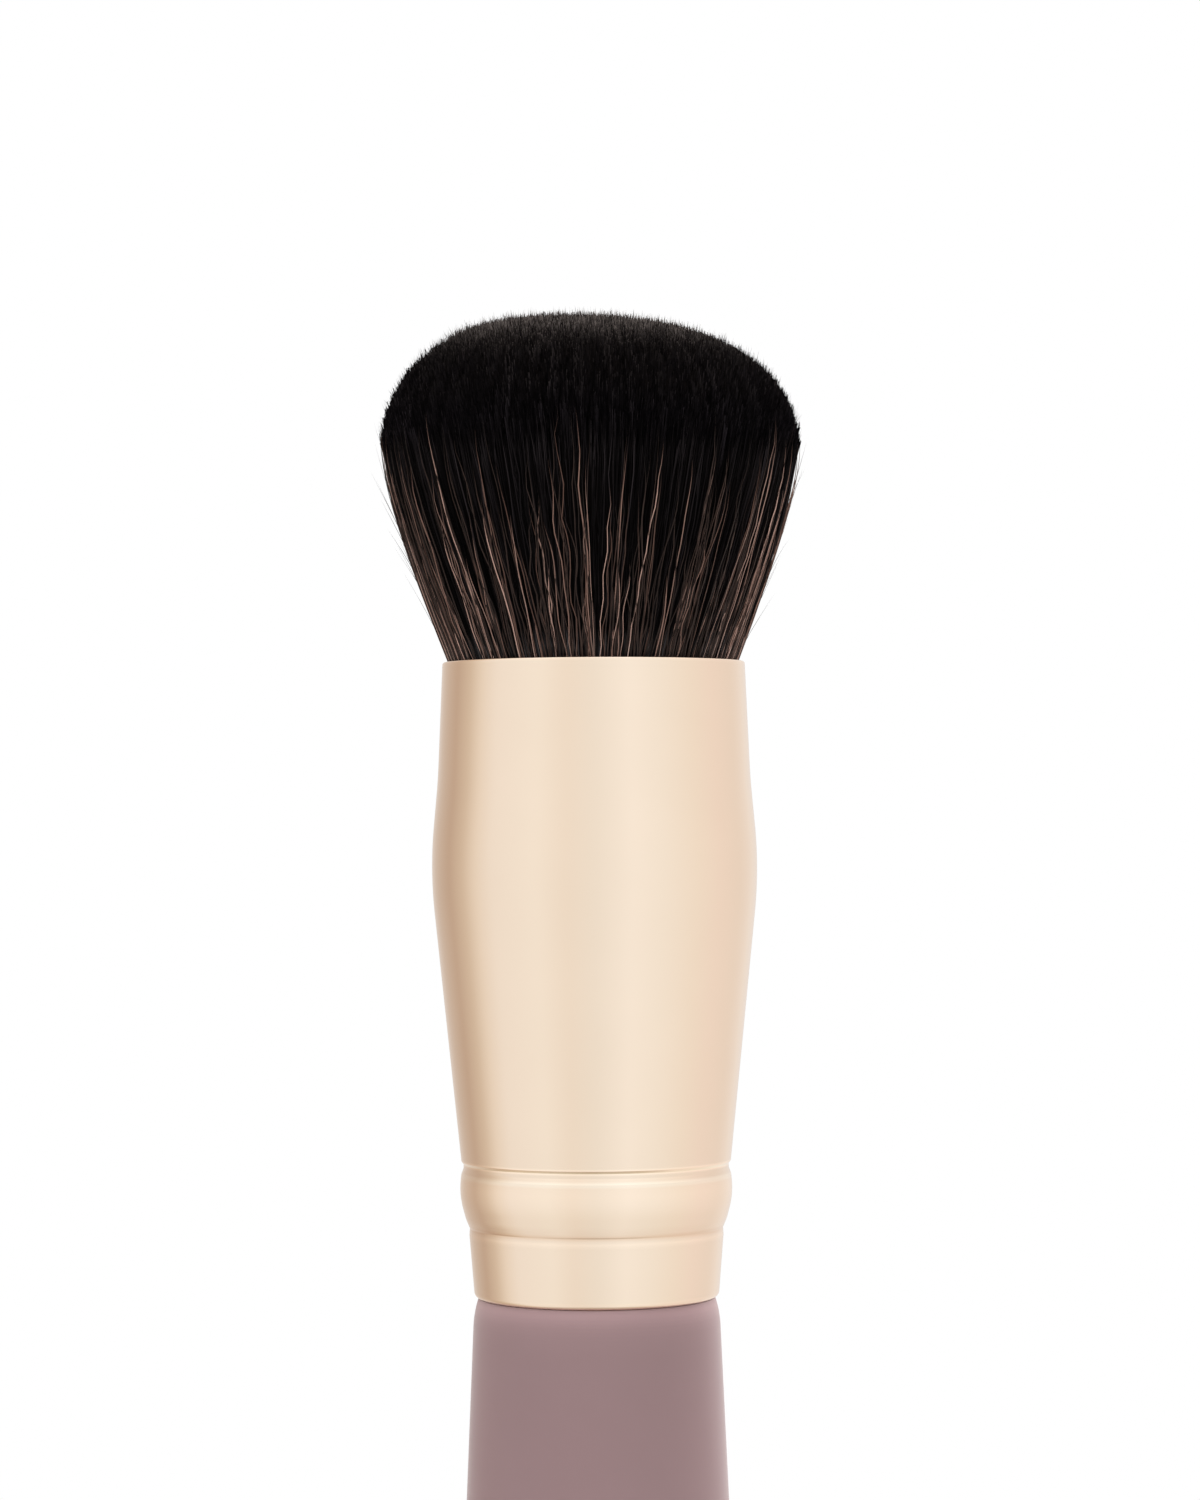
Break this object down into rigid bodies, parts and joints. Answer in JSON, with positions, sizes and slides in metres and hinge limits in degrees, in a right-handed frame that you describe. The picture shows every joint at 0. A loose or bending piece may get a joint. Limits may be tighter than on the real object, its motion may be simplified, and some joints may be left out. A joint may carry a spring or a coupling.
{
  "type": "kabuki makeup brush",
  "caption": "Dense domed brush head in a bellied satin metal ferrule with a rolled bead, on a short flared matte handle with a flat base.",
  "frame": {"origin": "centre of the flat base of the handle, which the brush stands on", "axes": "+Z along the brush from the base to the top of the head; +X to the right and +Y away from the viewer of the picture"},
  "size_m": [0.0375, 0.0373, 0.147],
  "materials": {
    "handle_lacquer": "matte soft-touch lacquer",
    "ferrule_metal": "satin champagne anodised",
    "cup_metal": "plain",
    "adhesive": "cured adhesive",
    "epoxy": "cured epoxy",
    "thread": "twisted thread",
    "dark_filament": "fine tapered filament",
    "brown_filament": "fine tapered filament"
  },
  "bodies": {
    "root": {"handle": "handle_lacquer", "handle_glue": "adhesive", "ferrule": "ferrule_metal", "cup_glue": "adhesive", "knot_cup": "cup_metal", "knot_glue": "epoxy", "binding_thread": "thread", "core_bristles": "dark_filament", "outer_bristles": "brown_filament"}
  },
  "joints": []
}
